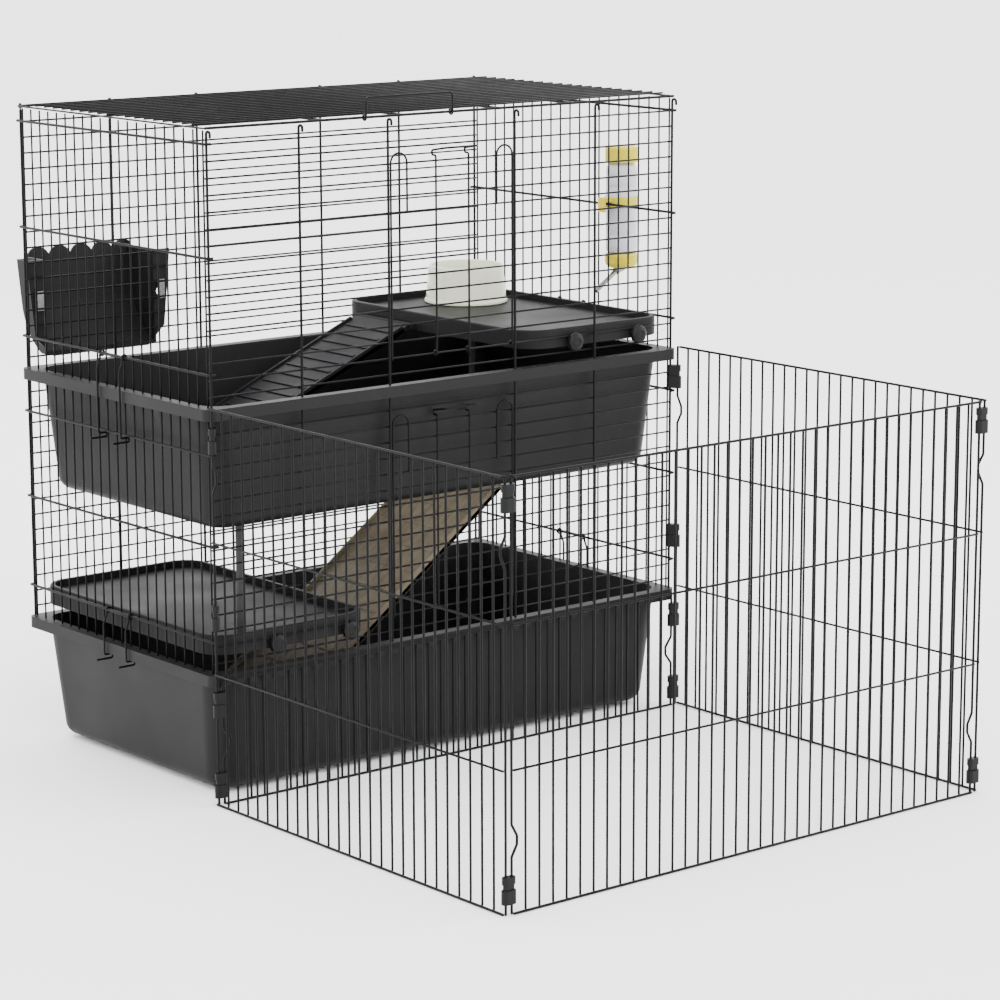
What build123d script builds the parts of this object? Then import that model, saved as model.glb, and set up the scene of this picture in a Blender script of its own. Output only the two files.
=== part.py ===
from build123d import *

import math
import os

# Two-tier wire rabbit cage with a playpen. Millimetres, +Z up, the long front faces -Y.
# The origin is the middle of the lower tub's plinth, on the ground.

# Driving dimensions
CAGE_WIDTH = 892.0          # along X, tub rim to tub rim less the rim's overhang
CAGE_DEPTH = 500.0          # along Y
RIM_OVERHANG = 4.0          # tub rim past the cage's nominal width and depth
TIER_RISE = 390.0           # from one tub to the next
ROOF_Z = 980.0              # centre line of the roof panel's frame
PEN_LENGTH = 656.5          # pen side panel, pivot to pivot
PEN_TOP_Z = 584.0           # centre line of the pen's top wires

# Wires
HEAVY = 2.0                 # radius of the main wires
LIGHT = 1.4                 # radius of the close-set wires
HOOK = 1.6                  # radius of door, latch and bail wires
FRAME = 1.9                 # radius of the pen panels' frame wires
MESH = 1.7                  # radius of the pen panels' mesh wires
GAP = 0.3                   # clearance between pieces that move

# Tubs
PLINTH_HEIGHT = 6.0
TUB_FLOOR = 3.0
TUB_WALL = 3.0
TUB_HEIGHT = 191.0          # ground to rim top
RIM_BAND = 17.0             # height of the rim's skirt
TUB_TAPER = 16.0            # how far each wall comes in from rim to base
TUB_CORNER = 38.0
RIM_CORNER = 15.0

# Wire panels
PANEL_X = 440.0             # plane of the side panels' vertical wires
PANEL_Y = 244.0             # plane of the front and back panels' horizontal wires
MAIN_Y = PANEL_Y + LIGHT + HEAVY
SIDE_X = PANEL_X + LIGHT + HEAVY
BAR_PITCH = 24.0
FIRST_BAR = 16.0            # first bar above the tub rim
UPRIGHTS = (-439.2, -280.0, -120.0, 120.0, 280.0, 439.2)
SIDE_BARS_LOWER = (49.0, 190.0, 323.0)      # above the rim
SIDE_BARS_UPPER = (49.0, 216.0, 377.0)
LOWER_BAR_COUNT = 15
UPPER_BAR_COUNT = 16

# Doors, counted in bars above the rim
DOOR_HINGE_BAR = 1
DOOR_TOP_BAR = 13
DOOR_HALF = 115.0
LATCH_HALF = 31.0

# Platforms
PLATFORM_WIDTH = 284.0
PLATFORM_HALF_DEPTH = 240.0
PLATFORM_BASE = 24.0        # above the rim
PLATFORM_HEIGHT = 29.0
PLATFORM_RECESS = 10.0
UPPER_PLATFORM_X = 294.0
LOWER_PLATFORM_X = -294.0
KNOBS_UPPER = (239.0, 369.0)
KNOBS_LOWER = (-331.0, -199.0)
KNOB_RADIUS = 14.5
KNOB_DROP = 9.0             # knob axis below the bar it clamps

# Ramps: hinge axis in X and Z, width along Y, slope
UPPER_RAMP = {"hinge": (145.0, 612.0), "y": (45.0, 185.0), "slope": 23.4, "length": 526.0}
LOWER_RAMP = {"hinge": (181.0, 384.0), "y": (-150.0, 50.0), "slope": 36.2, "length": 629.0}
RAMP_THICKNESS = 8.0
RAMP_PIN = 2.5
RAMP_BARREL = 5.0
FLOOR_HOLE = (-40.0, 192.0, -150.0, 50.0)   # x from, x to, y from, y to

# Hay rack on the outside of the back panel
RACK_X = -304.0
RACK_Z = 593.0
RACK_BIN_HALF = 102.0
RACK_FLANGE_HALF = 130.0
RACK_FLANGE_Y = 251.0
RACK_DEPTH = 80.0
RACK_TOP = 743.0
RACK_WALL = 3.0
STUD_HALF_SPAN = 110.0
STUD_Z = 687.0

# Bowl and bottle
BOWL_PLACE = (337.0, 143.0)
BOTTLE_PLACE = (478.0, -84.0)
BOTTLE_RADIUS = 25.2

# Pen
PEN_X = 446.0
PEN_BACK_Y = -257.5
PEN_FRONT_Y = PEN_BACK_Y - PEN_LENGTH
PEN_INNER_X = 436.0         # end wires of the front and short back panels
PEN_SIDE_GAPS = 27
PEN_FRONT_GAPS = 37
SHORT_TOP_Z = 185.0
CLIP_HEIGHT = 37.0
CLIP_RADIUS = 6.0


def rod(start, end, radius):
    """Straight round wire between two points."""
    start, end = Vector(*start), Vector(*end)
    along = end - start
    return Solid.make_cylinder(radius, along.length, Plane(origin=start, z_dir=along))


def bent_wire(points, radius, bend):
    """Round wire through the points with every corner bent to the same radius."""
    path = FilletPolyline(*points, radius=bend)
    section = Plane(origin=path @ 0, z_dir=path % 0) * Circle(radius)
    return sweep(section, path=path).solid()


def eye(centre, axis, ring_radius, radius):
    """Closed eye round a pivot wire, its faces slightly flattened."""
    centre, axis = Vector(*centre), Vector(*axis)
    start = centre - axis * (0.85 * radius)
    outer = Solid.make_cylinder(ring_radius + radius, 1.7 * radius, Plane(origin=start, z_dir=axis))
    bore_start = centre - axis * (2 * radius)
    bore = Solid.make_cylinder(ring_radius - radius, 4 * radius, Plane(origin=bore_start, z_dir=axis))
    return (outer - bore).solid()


def fused(*shapes):
    """One solid from overlapping pieces."""
    whole = shapes[0].fuse(*shapes[1:])
    return whole.solid()


def block(x, y, z):
    """Box from three (low, high) pairs."""
    size = [high - low for low, high in (x, y, z)]
    return Pos(x[0], y[0], z[0]) * Box(*size, align=(Align.MIN, Align.MIN, Align.MIN))


def rounded_slab(width, depth, height, corner, base):
    """Slab with rounded vertical edges, standing on the given level."""
    return extrude(Pos(0, 0, base) * RectangleRounded(width, depth, corner), height)


def save(name, *shapes):
    """Write one node from one or more solids."""
    solids = [solid for shape in shapes for solid in shape.solids()]
    node = solids[0] if len(solids) == 1 else Compound(children=solids)
    export_step(node, f"parts/{name}.step")


def rim_top(tier):
    """Level of a tier's tub rim."""
    return TUB_HEIGHT + tier * TIER_RISE


def bar_z(tier, count):
    """Level of a numbered front bar."""
    return rim_top(tier) + FIRST_BAR + count * BAR_PITCH


# Tubs

def tub_cup(inset, floor_z, top_z, corner_round):
    """Tapered block with rounded corners and a rounded base, inset all round."""
    rim_width = CAGE_WIDTH + 2 * RIM_OVERHANG - 2 * (15 + inset)
    rim_depth = CAGE_DEPTH + 2 * RIM_OVERHANG - 2 * (15 + inset)
    low = Pos(0, 0, floor_z) * RectangleRounded(
        rim_width - 2 * TUB_TAPER, rim_depth - 2 * TUB_TAPER, TUB_CORNER - inset
    )
    high = Pos(0, 0, top_z) * RectangleRounded(rim_width, rim_depth, TUB_CORNER - inset)
    cup = loft([low.face(), high.face()])
    return fillet(cup.edges().group_by(Axis.Z)[0], corner_round)


def make_tub():
    """Pan with a skirted rim and a plinth under its floor."""
    width = CAGE_WIDTH + 2 * RIM_OVERHANG
    depth = CAGE_DEPTH + 2 * RIM_OVERHANG
    skirt_z = TUB_HEIGHT - RIM_BAND
    tub = tub_cup(0, PLINTH_HEIGHT, TUB_HEIGHT, 20.0)
    tub += rounded_slab(width, depth, TUB_WALL, RIM_CORNER, TUB_HEIGHT - TUB_WALL)
    skirt = rounded_slab(width, depth, RIM_BAND, RIM_CORNER, skirt_z)
    skirt -= rounded_slab(width - 6, depth - 6, RIM_BAND, RIM_CORNER - 3, skirt_z)
    tub += skirt
    tub += rounded_slab(700.0, 320.0, PLINTH_HEIGHT, 30.0, 0.0)
    tub -= tub_cup(TUB_WALL, PLINTH_HEIGHT + TUB_FLOOR, TUB_HEIGHT + 1.0, 17.0)
    return tub


def make_upper_tub():
    """Second tub, with the ramp's opening cut through its floor."""
    x_low, x_high, y_low, y_high = FLOOR_HOLE
    tub = Pos(0, 0, TIER_RISE) * make_tub()
    hole = Pos((x_low + x_high) / 2, (y_low + y_high) / 2) * RectangleRounded(
        x_high - x_low, y_high - y_low, 20.0
    )
    return tub - extrude(Pos(0, 0, TIER_RISE - 1) * hole, 30.0)


# Cage panels

def upright_top(tier):
    """Where a front panel's main wires end: under the next rim, or below the roof."""
    return rim_top(1) - TUB_WALL - GAP if tier == 0 else ROOF_Z - 8.5


def front_curl(x):
    """Top of a front upright, curled outward just below the roof frame."""
    z = ROOF_Z - 8.5
    points = [(x, -MAIN_Y, z - 6), (x, -MAIN_Y, z + 4), (x, -MAIN_Y - 9, z + 4), (x, -MAIN_Y - 9, z - 5)]
    return bent_wire(points, HEAVY, 4.0)


def face_bars(tier, side, with_door):
    """Horizontal bars of a front (side -1) or back (side +1) panel."""
    count = UPPER_BAR_COUNT if tier else LOWER_BAR_COUNT
    bars = []
    for number in range(count):
        z = bar_z(tier, number)
        y = side * PANEL_Y
        in_door = with_door and DOOR_HINGE_BAR < number <= DOOR_TOP_BAR
        spans = [(-441.0, -118.6), (118.6, 441.0)] if in_door else [(-441.0, 441.0)]
        bars += [rod((low, y, z), (high, y, z), LIGHT) for low, high in spans]
    return bars


def front_panel(tier):
    """Front wires of a tier, open where the door is."""
    low = rim_top(tier) + GAP
    parts = face_bars(tier, -1, True)
    for x in UPRIGHTS:
        if tier:
            parts.append(rod((x, -MAIN_Y, low), (x, -MAIN_Y, ROOF_Z - 14.5), HEAVY))
            parts.append(front_curl(x))
        else:
            parts.append(rod((x, -MAIN_Y, low), (x, -MAIN_Y, upright_top(0)), HEAVY))
    return parts


def back_panel(tier):
    """Back wires of a tier; on top the uprights end in eyes for the roof's hinge wire."""
    low = rim_top(tier) + GAP
    parts = face_bars(tier, 1, False)
    for x in UPRIGHTS:
        if tier:
            ring = HEAVY + GAP + 1.2
            knuckle = eye((x, MAIN_Y, ROOF_Z), (1, 0, 0), ring, 1.2)
            parts.append(knuckle)
            parts.append(rod((x, MAIN_Y, low), (x, MAIN_Y, ROOF_Z - ring - 1.2), HEAVY))
        else:
            parts.append(rod((x, MAIN_Y, low), (x, MAIN_Y, upright_top(0)), HEAVY))
    return parts


def side_panel(tier, side):
    """Close-set vertical wires of a short side with its horizontals hooked round the corners."""
    low = rim_top(tier) + GAP
    high = ROOF_Z - 3.0 if tier else rim_top(1) - TUB_WALL - GAP
    levels = SIDE_BARS_UPPER if tier else SIDE_BARS_LOWER
    parts = []
    for number in range(21):
        y = -240.0 + number * BAR_PITCH
        parts.append(rod((side * PANEL_X, y, low), (side * PANEL_X, y, high), LIGHT))
    for level in levels:
        z = rim_top(tier) + level
        reach = MAIN_Y + 5.0
        points = [
            (side * (SIDE_X - 9), -reach, z),
            (side * SIDE_X, -reach, z),
            (side * SIDE_X, reach, z),
            (side * (SIDE_X - 9), reach, z),
        ]
        parts.append(bent_wire(points, HEAVY, 2.6))
    return parts


# Roof

def roof_panel():
    """Frame, close-set wires along X and four cross wires along Y."""
    inner_y = MAIN_Y - HEAVY - 0.05
    parts = [
        rod((-442, -MAIN_Y, ROOF_Z), (442, -MAIN_Y, ROOF_Z), HEAVY),
        rod((-442, MAIN_Y, ROOF_Z), (442, MAIN_Y, ROOF_Z), HEAVY),
    ]
    for x in (-443.4, -236.0, -92.0, 92.0, 236.0, 443.4):
        reach = MAIN_Y if abs(x) > 442 else inner_y
        parts.append(rod((x, -reach, ROOF_Z), (x, reach, ROOF_Z), HEAVY - 0.6 if abs(x) > 442 else HEAVY))
    for number in range(19):
        y = -219.6 + number * 24.4
        z = ROOF_Z + HEAVY + LIGHT
        parts.append(rod((-444.5, y, z), (444.5, y, z), LIGHT))
    return parts


def roof_bail():
    """Wire bail standing on the roof's front wire, held by two eyes."""
    x_low, x_high = -162.0, -2.0
    ring = HEAVY + GAP + HOOK
    y = -MAIN_Y - ring
    points = [(x_low, y, ROOF_Z), (x_low, y, 1009.0), (x_high, y, 1009.0), (x_high, y, ROOF_Z)]
    bail = bent_wire(points, HOOK, 5.0)
    eyes = [eye((x, -MAIN_Y, ROOF_Z), (1, 0, 0), ring, HOOK) for x in (x_low, x_high)]
    return fused(bail, *eyes)


# Doors

def door(tier):
    """Door bars, side wires with looped tops, and the eyes they turn on."""
    hinge_z = bar_z(tier, DOOR_HINGE_BAR)
    top_z = bar_z(tier, DOOR_TOP_BAR)
    wire_y = -PANEL_Y - LIGHT - HOOK
    ring = LIGHT + GAP + HOOK
    parts = []
    for number in range(DOOR_HINGE_BAR + 1, DOOR_TOP_BAR + 1):
        z = bar_z(tier, number)
        parts.append(rod((-DOOR_HALF - 1.4, -PANEL_Y, z), (DOOR_HALF + 1.4, -PANEL_Y, z), LIGHT))
    for side in (-1, 1):
        outer, inner = side * DOOR_HALF, side * (DOOR_HALF - 30)
        points = [
            (outer, wire_y, hinge_z + 1.0),
            (outer, wire_y, top_z + 15.5),
            (inner, wire_y, top_z + 15.5),
            (inner, wire_y, top_z - 72.0),
        ]
        loop = bent_wire(points, HOOK, 14.9)
        parts.append(fused(loop, eye((outer, -PANEL_Y, hinge_z), (1, 0, 0), ring, HOOK)))
    return parts


def door_latch(tier):
    """Long U-shaped wire: two legs on eyes at the hinge bar, a bent head with a finger bar."""
    hinge_z = bar_z(tier, DOOR_HINGE_BAR)
    top_z = bar_z(tier, DOOR_TOP_BAR)
    ring = LIGHT + GAP + HOOK
    leg_y = -PANEL_Y - ring
    half_path = [
        (leg_y, hinge_z + 0.5),
        (leg_y, top_z + 8.0),
        (-PANEL_Y + 6.0, top_z + 8.0),
        (-PANEL_Y + 6.0, top_z + 15.0),
        (-PANEL_Y - 23.0, top_z + 20.0),
    ]
    points = [(-LATCH_HALF, y, z) for y, z in half_path]
    points += [(LATCH_HALF, y, z) for y, z in reversed(half_path)]
    wire = bent_wire(points, HOOK, 3.0)
    eyes = [eye((x, -PANEL_Y, hinge_z), (1, 0, 0), ring, HOOK) for x in (-LATCH_HALF, LATCH_HALF)]
    return fused(wire, *eyes)


# Tub latches

def tub_latch(side, hinge_z, foot_z):
    """Two-legged wire catch hung on a side panel's horizontal, with hooked feet."""
    ring = HEAVY + GAP + HOOK
    shoulder_x = SIDE_X + ring
    leg_x = SIDE_X + 9.6
    leg = [
        (leg_x + 14.0, foot_z - 6.5),
        (leg_x - 14.0, foot_z - 6.5),
        (leg_x - 14.0, foot_z),
        (leg_x, foot_z),
        (leg_x, hinge_z - 22.0),
        (shoulder_x, hinge_z - 7.0),
        (shoulder_x, hinge_z),
    ]
    points = [(side * x, -30.0, z) for x, z in leg]
    points += [(side * x, 30.0, z) for x, z in reversed(leg)]
    wire = bent_wire(points, HOOK, 2.4)
    eyes = [eye((side * SIDE_X, y, hinge_z), (0, 1, 0), ring, HOOK) for y in (-30.0, 30.0)]
    return fused(wire, *eyes)


# Platforms and their clamps

def platform(x, tier):
    """Rounded tray with a raised edge, hollow underneath."""
    base = rim_top(tier) + PLATFORM_BASE
    depth = 2 * PLATFORM_HALF_DEPTH
    tray = rounded_slab(PLATFORM_WIDTH, depth, PLATFORM_HEIGHT, 44.0, base)
    top_edges = tray.edges().group_by(Axis.Z)[-1]
    tray = fillet(top_edges, 3.0)
    recess_z = base + PLATFORM_HEIGHT - PLATFORM_RECESS
    tray -= rounded_slab(PLATFORM_WIDTH - 16, depth - 16, 20.0, 36.0, recess_z)
    tray -= rounded_slab(PLATFORM_WIDTH - 7, depth - 7, PLATFORM_HEIGHT - PLATFORM_RECESS - 3.0, 40.5, base)
    return Pos(x, 0, 0) * tray


def clamp_knob(x, side, tier):
    """Round knob outside the bars with a shank that reaches the platform."""
    z = bar_z(tier, DOOR_HINGE_BAR) - KNOB_DROP
    inner = PANEL_Y + LIGHT + GAP
    outline = [
        (0, PLATFORM_HALF_DEPTH + GAP),
        (3.0, PLATFORM_HALF_DEPTH + GAP),
        (3.0, inner),
        (KNOB_RADIUS, inner),
        (KNOB_RADIUS, inner + 9.0),
        (KNOB_RADIUS - 4.0, inner + 12.0),
        (0, inner + 12.0),
    ]
    profile = make_face(Polyline(*outline, close=True))
    knob = revolve(profile, Axis.Y)
    facing = knob if side > 0 else Rot(0, 0, 180) * knob
    return Pos(x, 0, z) * facing


# Ramps

def ramp(spec, lip):
    """Sloping board that turns on a barrel at its upper end."""
    x, z = spec["hinge"]
    y_low, y_high = spec["y"]
    half = RAMP_THICKNESS / 2
    length = spec["length"]
    board = block((-length, 0), (y_low, y_high), (-half, half))
    rails = [
        block((-length, -14), (y_low, y_low + 5), (-half, half + lip)),
        block((-length, -14), (y_high - 5, y_high), (-half, half + lip)),
    ]
    barrel = rod((0, y_low, 0), (0, y_high, 0), RAMP_BARREL)
    bore = rod((0, y_low - 1, 0), (0, y_high + 1, 0), RAMP_PIN + 0.1)
    body = fused(board, barrel, *rails) - bore
    return Pos(x, 0, z) * (Rot(0, -spec["slope"], 0) * body)


def ramp_hinge(spec, lugs):
    """Pin through a ramp's barrel and the two lugs that carry it."""
    x, z = spec["hinge"]
    y_low, y_high = spec["y"]
    pin = rod((x, y_low - 7, z), (x, y_high + 7, z), RAMP_PIN)
    cheeks = [
        block(lugs["x"], (y_low - 7, y_low - 1), lugs["z"]),
        block(lugs["x"], (y_high + 1, y_high + 7), lugs["z"]),
    ]
    return fused(pin, *cheeks)


# Hay rack

def rack_bin(grow):
    """Bin block between its end walls, grown inward by the wall on every closed side."""
    y_flange = RACK_FLANGE_Y
    y_outer = RACK_FLANGE_Y + RACK_DEPTH - grow
    low = RACK_Z + 4 + grow
    outline = Polyline(
        (y_flange - (2 if grow else 0), low),
        (y_flange - (2 if grow else 0), RACK_TOP + 20),
        (y_outer, RACK_TOP + 20),
        (y_outer - 16, 668.0),
    )
    belly = ThreePointArc((y_outer - 16, 668.0), (y_flange + 42 - grow * 0.7, 622.0 + grow), (y_flange + 10, low))
    floor = Line((y_flange + 10, low), (y_flange - (2 if grow else 0), low))
    face = make_face(Curve() + [outline, belly, floor])
    half = RACK_BIN_HALF - grow
    return extrude(Plane.YZ.offset(RACK_X - half) * face, 2 * half)


def keyhole(x):
    """Keyhole cutter: round entry below, narrow slot above."""
    entry = rod((x, RACK_FLANGE_Y - 5, STUD_Z - 10), (x, RACK_FLANGE_Y + 8, STUD_Z - 10), 6.4)
    slot = block((x - 3.5, x + 3.5), (RACK_FLANGE_Y - 5, RACK_FLANGE_Y + 8), (STUD_Z - 10, STUD_Z))
    top = rod((x, RACK_FLANGE_Y - 5, STUD_Z), (x, RACK_FLANGE_Y + 8, STUD_Z), 3.5)
    return fused(entry, slot, top)


def hay_rack():
    """Open-topped bin with a scalloped outer edge and a flange with keyholes."""
    plate_y = (RACK_FLANGE_Y, RACK_FLANGE_Y + RACK_WALL)
    corners = [
        (RACK_X - 87, RACK_Z), (RACK_X + 87, RACK_Z),
        (RACK_X + 118, RACK_Z + 30), (RACK_X + RACK_FLANGE_HALF, RACK_TOP),
        (RACK_X - RACK_FLANGE_HALF, RACK_TOP), (RACK_X - 118, RACK_Z + 30),
    ]
    plate = extrude(
        Plane.XZ.offset(-plate_y[1]) * make_face(Polyline(*corners, close=True)), RACK_WALL
    )
    shell = rack_bin(0) - block((RACK_X - 200, RACK_X + 200), (200, RACK_FLANGE_Y + RACK_DEPTH - 9),
                                (RACK_TOP, RACK_TOP + 30))
    rack = fused(plate, shell) - rack_bin(RACK_WALL)
    for side in (-1, 1):
        rack -= keyhole(RACK_X + side * STUD_HALF_SPAN)
    trim_y = (RACK_FLANGE_Y + RACK_DEPTH - 30, RACK_FLANGE_Y + RACK_DEPTH + 5)
    waste = block((RACK_X - 110, RACK_X + 110), trim_y, (RACK_TOP - 6, RACK_TOP + 40))
    for number in range(5):
        x = RACK_X - 64 + number * 39
        peak = rod((x, trim_y[0], RACK_TOP - 11), (x, trim_y[1], RACK_TOP - 11), 21.0)
        waste -= peak
    return rack - waste


def rack_stud(x):
    """Bracket across two back bars with a headed stud for the keyhole."""
    y = PANEL_Y + LIGHT
    bracket = block((x - 6, x + 6), (y, y + 2.5), (bar_z(1, 3) - 3, bar_z(1, 4) + 3))
    shank = rod((x, y + 2, STUD_Z), (x, RACK_FLANGE_Y + RACK_WALL + 0.6, STUD_Z), 3.0)
    head = rod((x, RACK_FLANGE_Y + RACK_WALL + 0.4, STUD_Z), (x, RACK_FLANGE_Y + RACK_WALL + 3, STUD_Z), 5.4)
    return fused(bracket, shank, head)


# Bowl and bottle

def bowl():
    """Stoneware bowl, wider at its foot."""
    floor_z = rim_top(1) + PLATFORM_BASE + PLATFORM_HEIGHT - PLATFORM_RECESS
    outline = [(0, 0), (69, 0), (69, 5), (66.5, 8), (61.5, 60), (59, 62), (56, 60), (54, 14), (50, 10), (0, 10)]
    profile = make_face(Polyline(*[(r, 0, z) for r, z in outline], close=True))
    return Pos(*BOWL_PLACE, floor_z) * revolve(profile, Axis.Z)


def turned(outline, x, y):
    """Solid of revolution about a vertical axis through x, y; outline is radius and level."""
    profile = make_face(Polyline(*[(r, 0, z) for r, z in outline], close=True))
    return Pos(x, y, 0) * revolve(profile, Axis.Z)


def bottle_pieces():
    """Water bottle with its caps, holder ring and steel drinking tube."""
    x, y = BOTTLE_PLACE
    body = turned([(20, 716), (BOTTLE_RADIUS, 722), (BOTTLE_RADIUS, 852), (20, 861), (17, 861),
                   (17, 859), (23.4, 850), (23.4, 723), (18.5, 718), (18.5, 716)], x, y)
    top_cap = turned([(0, 888), (24, 888), (26, 884), (26, 864), (24.6, 862), (0, 862)], x, y)
    low_cap = turned([(0, 715), (25, 715), (26, 712), (26, 698), (23, 693), (12, 690), (0, 690)], x, y)
    band = turned([(25.5, 791), (28.5, 791), (28.5, 807), (25.5, 807)], x, y)
    bridge = block((434.6, 451.5), (y - 8, y + 8), (800, 807))
    tongue = block((434.6, 437.6), (y - 8, y + 8), (784, 807))
    holder = fused(band, bridge, tongue)
    start, end = Vector(x - 1, y, 693), Vector(424, y, 657)
    cone = Solid.make_cone(9, 5.5, 14, Plane(origin=start, z_dir=end - start))
    tube_start = start + (end - start).normalized() * 13
    tube = rod(tuple(tube_start), tuple(end), 4.0)
    nozzle = fused(cone, tube) - block((x - 30, x + 30), (y - 30, y + 30), (690, 720))
    return {"bottle_body": body, "bottle_top_cap": top_cap, "bottle_low_cap": low_cap,
            "bottle_holder": holder, "bottle_nozzle": nozzle}


# Pen

def pen_grid(point, along_gaps, levels, layer, top_z):
    """Mesh of a pen panel: inner verticals and two inner horizontals, in touching layers."""
    parts = []
    for number in range(1, along_gaps):
        share = number / along_gaps
        parts.append(rod(point(share, 0, FRAME), point(share, 0, top_z), MESH))
    for z in levels:
        parts.append(rod(point(0, layer, z), point(1, layer, z), MESH))
    return parts


def end_wire(x, y, low, high, bump, bump_z):
    """Frame upright with a sideways finger bend."""
    dx, dy = bump
    points = [(x, y, low), (x, y, bump_z - 22), (x + dx, y + dy, bump_z - 6),
              (x + dx, y + dy, bump_z + 6), (x, y, bump_z + 22), (x, y, high)]
    return bent_wire(points, FRAME, 5.0)


def pen_side(side):
    """Side panel of the pen, from the cage's corner to the pen's front corner."""
    x = side * PEN_X
    layer = MESH + MESH
    back, front = PEN_BACK_Y, PEN_FRONT_Y

    def point(share, offset, z):
        return (x + side * offset, back + (front - back) * share, z)

    third = (PEN_TOP_Z - FRAME) / 3
    inset = FRAME + 0.05
    parts = pen_grid(point, PEN_SIDE_GAPS, (FRAME + third, FRAME + 2 * third), layer, PEN_TOP_Z)
    for z in (FRAME, PEN_TOP_Z):
        parts.append(rod((x + side * (MESH + FRAME), back, z), (x + side * (MESH + FRAME), front, z), FRAME))
    parts.append(end_wire(x, back, 0.2, PEN_TOP_Z + 2, (0, -9.0), 484.0))
    parts.append(end_wire(x, front, 0.2, PEN_TOP_Z + 2, (0, 9.0), 484.0))
    return parts


def pen_front_panel():
    """Front panel of the pen."""
    y = PEN_FRONT_Y
    layer = MESH + MESH

    def point(share, offset, z):
        return (-PEN_INNER_X + 2 * PEN_INNER_X * share, y - offset, z)

    third = (PEN_TOP_Z - FRAME) / 3
    parts = pen_grid(point, PEN_FRONT_GAPS, (FRAME + third, FRAME + 2 * third), layer, PEN_TOP_Z)
    for z in (FRAME, PEN_TOP_Z):
        wire_y = y - MESH - FRAME
        parts.append(rod((-PEN_INNER_X, wire_y, z), (PEN_INNER_X, wire_y, z), FRAME))
    parts.append(end_wire(-PEN_INNER_X, y, 0.2, PEN_TOP_Z + 2, (9.0, 0), 100.0))
    parts.append(end_wire(PEN_INNER_X, y, 0.2, PEN_TOP_Z + 2, (-9.0, 0), 100.0))
    return parts


def pen_short_panel():
    """Short panel across the front of the lower tub."""
    y = PEN_BACK_Y

    def point(share, offset, z):
        return (-PEN_INNER_X + 2 * PEN_INNER_X * share, y - offset, z)

    parts = pen_grid(point, PEN_FRONT_GAPS, (), MESH + MESH, SHORT_TOP_Z)
    for z in (FRAME, SHORT_TOP_Z):
        wire_y = y - MESH - FRAME
        parts.append(rod((-PEN_INNER_X, wire_y, z), (PEN_INNER_X, wire_y, z), FRAME))
    parts.append(end_wire(-PEN_INNER_X, y, 0.2, SHORT_TOP_Z + 2, (12.0, 0), 92.0))
    parts.append(end_wire(PEN_INNER_X, y, 0.2, SHORT_TOP_Z + 2, (-12.0, 0), 92.0))
    return parts


def clip(near, far, z):
    """Moulded clip round two upright wires: a large lower block, a neck and a small top block."""
    ax, ay = near
    bx, by = far
    centre = ((ax + bx) / 2, (ay + by) / 2)
    span = math.hypot(bx - ax, by - ay)
    turn = math.degrees(math.atan2(by - ay, bx - ax))

    def lobe(radius, low, high):
        outline = Rot(0, 0, turn) * SlotOverall(span + 2 * radius, 2 * radius)
        return extrude(Pos(centre[0], centre[1], low) * outline, high - low)

    base = z - CLIP_HEIGHT / 2
    body = lobe(CLIP_RADIUS, base, base + 19)
    body += lobe(CLIP_RADIUS - 2.2, base + 19, base + 27)
    body += lobe(CLIP_RADIUS - 0.8, base + 27, base + CLIP_HEIGHT)
    for x, y in (near, far):
        body -= rod((x, y, base - 1), (x, y, base + CLIP_HEIGHT + 1), HEAVY + 0.15)
    bars_y = -PANEL_Y - LIGHT - 0.2
    return body - block((ax - 30, ax + 30), (bars_y, bars_y + 30), (base - 1, base + CLIP_HEIGHT + 1))


def clips():
    """Twelve clips by name."""
    named = {}
    for side, word in ((-1, "left"), (1, "right")):
        hinge = (side * PEN_X, PEN_BACK_Y)
        cage_wire = (side * 439.2, -MAIN_Y)
        short_end = (side * PEN_INNER_X, PEN_BACK_Y)
        front_hinge = (side * PEN_X, PEN_FRONT_Y)
        front_end = (side * PEN_INNER_X, PEN_FRONT_Y)
        named[f"clip_cage_{word}_high"] = clip(hinge, cage_wire, 537.0)
        named[f"clip_cage_{word}_low"] = clip(hinge, cage_wire, 279.0)
        named[f"clip_tub_{word}_high"] = clip(hinge, short_end, 150.0)
        named[f"clip_tub_{word}_low"] = clip(hinge, short_end, 30.0)
        named[f"clip_pen_{word}_high"] = clip(front_hinge, front_end, 556.0)
        named[f"clip_pen_{word}_low"] = clip(front_hinge, front_end, 34.0)
    return named


def build_tiers():
    """Tubs, wire panels, platforms and posts."""
    save("lower_tub", make_tub())
    save("upper_tub", make_upper_tub())
    for tier, word in ((0, "lower"), (1, "upper")):
        save(f"{word}_front_panel", *front_panel(tier))
        save(f"{word}_back_panel", *back_panel(tier))
        save(f"{word}_left_panel", *side_panel(tier, -1))
        save(f"{word}_right_panel", *side_panel(tier, 1))
        save(f"{word}_door", *door(tier))
        save(f"{word}_door_latch", door_latch(tier))
    save("lower_platform", platform(LOWER_PLATFORM_X, 0))
    save("upper_platform", platform(UPPER_PLATFORM_X, 1))
    platform_floor = PLATFORM_BASE + PLATFORM_HEIGHT - PLATFORM_RECESS
    save("lower_post", rod((-362, -198, rim_top(0) + platform_floor), (-362, -198, 396.0), 5.0))
    upper_floor = TIER_RISE + PLINTH_HEIGHT + TUB_FLOOR
    save("upper_post", rod((226, -10, upper_floor), (226, -10, rim_top(1) + platform_floor - 3.0), 5.0))


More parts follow.
